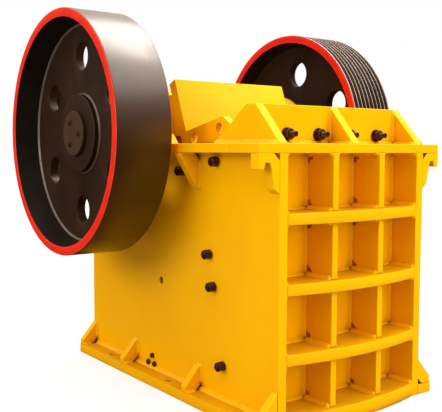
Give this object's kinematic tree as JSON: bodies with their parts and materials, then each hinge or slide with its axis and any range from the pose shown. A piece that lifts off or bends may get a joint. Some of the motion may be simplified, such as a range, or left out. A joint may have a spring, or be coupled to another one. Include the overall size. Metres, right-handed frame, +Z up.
{
  "type": "jaw crusher",
  "caption": "Fixed jaw crusher: welded ribbed frame with a hopper flange, eccentric shaft, recessed flywheel and grooved drive sheave, and a swing jaw.",
  "frame": {"origin": "centre of the rectangle of the four corner foundation bolts, on the underside of the base plates", "axes": "+X along the shaft towards the drive sheave, +Y from the feed front to the rear, +Z up"},
  "size_m": [2.173, 2.286, 2.304],
  "materials": {
    "frame_paint": "gloss yellow enamel",
    "wheel_paint": "semi-gloss dark brown-black paint",
    "rim_red": "gloss red paint on the rim's side face",
    "shaft_steel": "dark turned steel",
    "dark_steel": "blackened bolts, nuts and rods",
    "jaw_plate_steel": "bare cast wear plate"
  },
  "bodies": {
    "frame": {"base_gussets_left": "frame_paint", "base_gussets_right": "frame_paint", "base_plate_left": "frame_paint", "base_plate_right": "frame_paint", "bearing_cap_left": "frame_paint", "bearing_cap_right": "frame_paint", "bearing_housing_left": "frame_paint", "bearing_housing_right": "frame_paint", "cheek_plate_left": "frame_paint", "cheek_plate_right": "frame_paint", "fixed_jaw_plate": "jaw_plate_steel", "flange_gussets_left": "frame_paint", "flange_gussets_right": "frame_paint", "front_rib_bottom": "frame_paint", "front_rib_lower": "frame_paint", "front_rib_middle": "frame_paint", "front_rib_upper": "frame_paint", "front_stiffeners_left": "frame_paint", "front_stiffeners_right": "frame_paint", "front_wall": "frame_paint", "hopper_ear_left": "frame_paint", "hopper_ear_right": "frame_paint", "hopper_flange_front": "frame_paint", "hopper_flange_left": "frame_paint", "hopper_flange_right": "frame_paint", "hopper_front_plate": "frame_paint", "hopper_middle_gusset": "frame_paint", "rear_ribs": "frame_paint", "rear_stiffeners": "frame_paint", "rear_wall": "frame_paint", "side_wall_left": "frame_paint", "side_wall_right": "frame_paint", "tension_rods": "dark_steel", "tension_springs": "dark_steel", "toggle_beam": "frame_paint", "toggle_plate": "dark_steel"},
    "rotor": {"eccentric_shaft": "shaft_steel", "flywheel_hub": "wheel_paint", "flywheel_rim": "wheel_paint", "flywheel_web": "wheel_paint", "shaft_end_caps": "shaft_steel", "sheave_hub": "wheel_paint", "sheave_rim": "wheel_paint", "sheave_web": "wheel_paint"},
    "jaw": {"swing_jaw": "frame_paint", "moving_jaw_plate": "jaw_plate_steel", "jaw_guard_plate": "frame_paint"}
  },
  "joints": [
    {"name": "shaft_spin", "type": "hinge", "parent": "frame", "child": "rotor", "pos_m": [0, 0.524, 1.554], "axis": [1, 0, 0], "continuous": true},
    {"name": "jaw_swing", "type": "hinge", "parent": "rotor", "child": "jaw", "pos_m": [0, 0.524, 1.539], "axis": [1, 0, 0], "continuous": true}
  ],
  "couplings": [
    {"joint": "jaw_swing", "follows": "shaft_spin", "ratio": -1}
  ]
}
